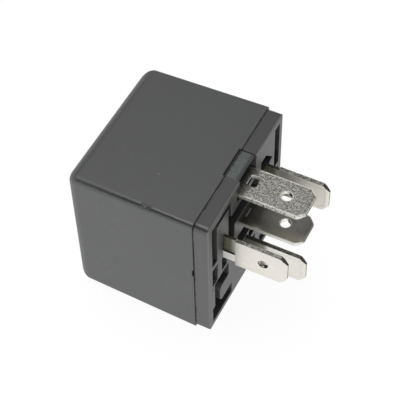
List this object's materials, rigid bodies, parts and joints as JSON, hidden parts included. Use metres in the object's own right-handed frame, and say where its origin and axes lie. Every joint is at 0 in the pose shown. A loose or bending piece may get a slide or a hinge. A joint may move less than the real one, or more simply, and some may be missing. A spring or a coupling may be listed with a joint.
{
  "type": "automotive relay",
  "caption": "Plug-in automotive change-over relay: square black moulded case, flat blade terminals, and a coil with a sprung armature inside.",
  "frame": {"origin": "under the middle of the relay's length and width, on the side face that it lies on", "axes": "+X the way the blades point, +Y towards blade 85, +Z towards blade 87, away from the face it lies on"},
  "size_m": [0.0376, 0.0286, 0.0285],
  "materials": {
    "cover_plastic": "satin black glass-filled plastic, finely scratched",
    "base_plastic": "satin black moulded plastic",
    "tinned_metal": "satin tin plate with grey cut edges",
    "dull_metal": "dull mottled tin plate",
    "dark_metal": "smooth bright tin plate",
    "magnet_steel": "nickel-plated steel",
    "core_iron": "turned soft iron",
    "bobbin_plastic": "natural nylon",
    "copper_wire": "enamelled copper",
    "resistor_body": "lacquered",
    "tinned_wire": "tinned",
    "silver_contact": "silver alloy",
    "rivet_steel": "plain",
    "spring_bronze": "rolled bronze strip"
  },
  "bodies": {
    "relay": {"cover": "cover_plastic", "base": "base_plastic", "terminal_30": "tinned_metal", "terminal_85": "tinned_metal", "terminal_86": "tinned_metal", "terminal_87": "dull_metal", "terminal_87a": "dark_metal", "yoke": "magnet_steel", "core": "core_iron", "bobbin": "bobbin_plastic", "winding": "copper_wire", "coil_lead_85": "copper_wire", "coil_lead_86": "copper_wire", "resistor": "resistor_body", "resistor_lead_85": "tinned_wire", "resistor_lead_86": "tinned_wire", "contact_no": "silver_contact", "contact_nc": "silver_contact", "spring_rivets": "rivet_steel"},
    "armature": {"armature": "magnet_steel", "armature_rivets": "rivet_steel", "contact_spring": "spring_bronze", "moving_contact": "silver_contact"}
  },
  "joints": [
    {"name": "armature_pull", "type": "hinge", "parent": "relay", "child": "armature", "pos_m": [-0.0125, 0, 0.00384], "axis": [0, 1, 0], "range_deg": [0, 2.5], "stiffness_Nm_per_rad": 0.02, "springref_deg": -11.46, "deforming": ["contact_spring"]}
  ]
}
